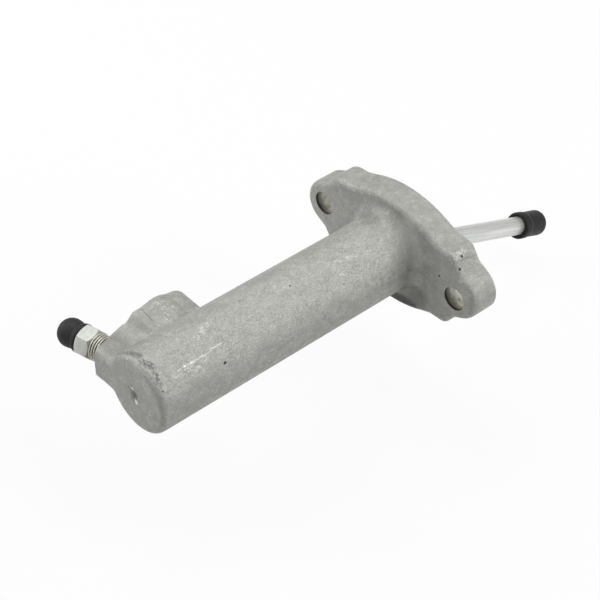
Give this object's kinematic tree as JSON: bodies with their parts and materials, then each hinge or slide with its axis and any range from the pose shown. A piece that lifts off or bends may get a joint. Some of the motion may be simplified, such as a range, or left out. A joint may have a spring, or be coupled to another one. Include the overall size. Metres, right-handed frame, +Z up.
{
  "type": "clutch slave cylinder",
  "caption": "Hydraulic clutch slave cylinder: cast aluminium barrel with a bolted flange, a capped bleed screw, an inlet port and a ball-ended push rod with a black cap.",
  "frame": {"origin": "on the bore's axis in the flange's mounting face", "axes": "+X out of the mouth along the piston's stroke, +Y to the side with the inlet port and bleed screw, +Z up, square to the line of the two bolt holes"},
  "size_m": [0.2017, 0.0849, 0.0586],
  "materials": {
    "cast_aluminium": "as cast",
    "bright_zinc": "zinc plated",
    "drawn_steel": "bright drawn",
    "spring_steel": "oiled",
    "phosphated_steel": "phosphated",
    "anodised_aluminium": "anodised",
    "cap_rubber": "matt",
    "cap_plastic": "satin",
    "seal_rubber": "satin"
  },
  "bodies": {
    "cylinder": {"cylinder_body": "cast_aluminium", "stop_washer": "bright_zinc", "retaining_ring": "phosphated_steel", "piston_spring": "spring_steel"},
    "cup": {"primary_cup": "seal_rubber", "spring_seat": "bright_zinc"},
    "piston": {"piston": "anodised_aluminium", "secondary_seal": "seal_rubber", "rod_clip": "phosphated_steel"},
    "push_rod": {"push_rod": "drawn_steel"},
    "rod_cap": {"push_rod_cap": "cap_plastic"},
    "bleed_screw": {"bleed_screw": "bright_zinc"},
    "bleed_cap": {"bleed_cap": "cap_rubber"}
  },
  "joints": [
    {"name": "piston_travel", "type": "slide", "parent": "cylinder", "child": "cup", "axis": [-1, 0, 0], "range_m": [0, 0.027], "stiffness_N_per_m": 300, "springref_m": -0.03, "deforming": ["piston_spring"]},
    {"name": "piston_turn", "type": "hinge", "parent": "cup", "child": "piston", "pos_m": [0, 0, 0], "axis": [1, 0, 0], "continuous": true},
    {"name": "rod_tilt", "type": "hinge", "parent": "piston", "child": "push_rod", "pos_m": [-0.0102, 0, 0], "axis": [0, -1, 0], "range_deg": [0, 21.3]},
    {"name": "rod_cap_pull", "type": "slide", "parent": "push_rod", "child": "rod_cap", "axis": [0.9317, 0, -0.3633], "range_m": [0, 0.025]},
    {"name": "bleed_screw_turn", "type": "hinge", "parent": "cylinder", "child": "bleed_screw", "pos_m": [-0.117, 0.0224, -0.0015], "axis": [-0.1764, 0.9805, -0.0872], "range_deg": [0, 360]},
    {"name": "bleed_cap_pull", "type": "slide", "parent": "bleed_screw", "child": "bleed_cap", "axis": [-0.1764, 0.9805, -0.0872], "range_m": [0, 0.015]}
  ],
  "couplings": [
    {"joint": "rod_tilt", "follows": "piston_travel", "rad_per_m": 13.7}
  ]
}
